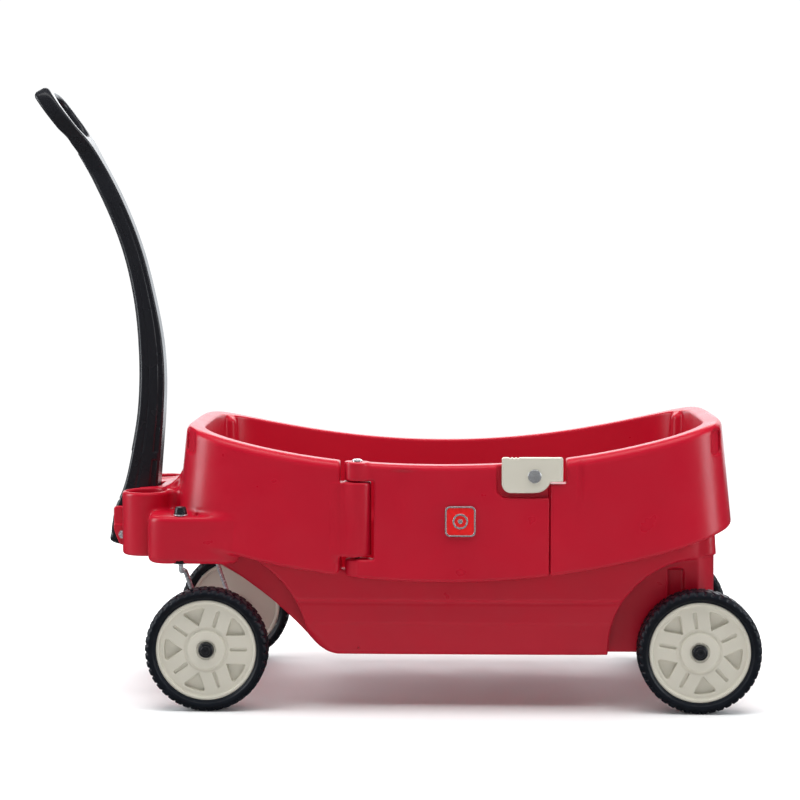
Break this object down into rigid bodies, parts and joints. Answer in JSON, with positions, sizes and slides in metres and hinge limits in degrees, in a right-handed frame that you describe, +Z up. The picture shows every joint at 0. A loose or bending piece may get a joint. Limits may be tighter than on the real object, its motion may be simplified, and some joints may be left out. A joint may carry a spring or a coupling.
{
  "type": "child's pull wagon",
  "caption": "Moulded child's pull wagon with a hinged side door, turning latch, cup holder console, swivelling front wheels and a curved pull handle.",
  "frame": {"origin": "on the floor, under the middle of the whole wagon's box", "axes": "+X towards the back of the wagon (the pull handle is at -X), +Y towards the plain side (the door is at -Y), +Z up"},
  "size_m": [1.211, 0.4861, 1.029],
  "materials": {
    "red_plastic": "smooth rotational moulding, semi-gloss",
    "ivory_plastic": "satin moulding",
    "tyre": "dull moulded tread",
    "charcoal_plastic": "satin moulding",
    "steel": "zinc plated",
    "silver": "bright plated"
  },
  "bodies": {
    "body": {"tub": "red_plastic", "side_wall": "red_plastic", "front_console": "red_plastic", "hitch_bracket": "red_plastic", "hitch_bolt": "steel", "hitch_nut": "steel", "rear_axle": "steel", "door_hinge_pin": "silver", "axle_clip_left": "charcoal_plastic", "axle_clip_right": "charcoal_plastic", "caster_bush_left": "charcoal_plastic", "caster_bush_right": "charcoal_plastic", "axle_spacer_rear_left": "steel", "axle_spacer_rear_right": "steel"},
    "door": {"side_door": "red_plastic", "latch_bolt": "silver", "latch_nut": "steel", "door_badge": "silver"},
    "latch": {"door_latch": "ivory_plastic"},
    "handle": {"pull_handle": "charcoal_plastic"},
    "caster_left": {"caster_rod_left": "steel", "caster_washer_left": "steel", "caster_cap_left": "charcoal_plastic", "axle_spacer_front_left": "steel"},
    "front_wheel_left": {"tyre_front_left": "tyre", "wheel_front_left": "ivory_plastic", "axle_cap_front_left": "charcoal_plastic"},
    "rear_wheel_left": {"tyre_rear_left": "tyre", "wheel_rear_left": "ivory_plastic", "axle_cap_rear_left": "charcoal_plastic"},
    "caster_right": {"caster_rod_right": "steel", "caster_washer_right": "steel", "caster_cap_right": "charcoal_plastic", "axle_spacer_front_right": "steel"},
    "front_wheel_right": {"tyre_front_right": "tyre", "wheel_front_right": "ivory_plastic", "axle_cap_front_right": "charcoal_plastic"},
    "rear_wheel_right": {"tyre_rear_right": "tyre", "wheel_rear_right": "ivory_plastic", "axle_cap_rear_right": "charcoal_plastic"}
  },
  "joints": [
    {"name": "handle_pivot", "type": "hinge", "parent": "body", "child": "handle", "pos_m": [-0.46, 0, 0.2635], "axis": [0, -1, 0], "range_deg": [0, 245]},
    {"name": "door_hinge", "type": "hinge", "parent": "body", "child": "door", "pos_m": [-0.0465, -0.219, 0.315], "axis": [0, 0, -1], "range_deg": [0, 95]},
    {"name": "latch_turn", "type": "hinge", "parent": "door", "child": "latch", "pos_m": [0.2385, -0.233, 0.387], "axis": [0, -1, 0], "range_deg": [0, 12]},
    {"name": "caster_swivel_left", "type": "hinge", "parent": "body", "child": "caster_left", "pos_m": [-0.335, -0.207, 0.28], "axis": [0, 0, 1], "continuous": true},
    {"name": "front_wheel_spin_left", "type": "hinge", "parent": "caster_left", "child": "front_wheel_left", "pos_m": [-0.293, -0.207, 0.1], "axis": [0, 1, 0], "continuous": true},
    {"name": "rear_wheel_spin_left", "type": "hinge", "parent": "body", "child": "rear_wheel_left", "pos_m": [0.507, -0.207, 0.1], "axis": [0, 1, 0], "continuous": true},
    {"name": "caster_swivel_right", "type": "hinge", "parent": "body", "child": "caster_right", "pos_m": [-0.335, 0.207, 0.28], "axis": [0, 0, 1], "continuous": true},
    {"name": "front_wheel_spin_right", "type": "hinge", "parent": "caster_right", "child": "front_wheel_right", "pos_m": [-0.293, 0.207, 0.1], "axis": [0, 1, 0], "continuous": true},
    {"name": "rear_wheel_spin_right", "type": "hinge", "parent": "body", "child": "rear_wheel_right", "pos_m": [0.507, 0.207, 0.1], "axis": [0, 1, 0], "continuous": true}
  ]
}
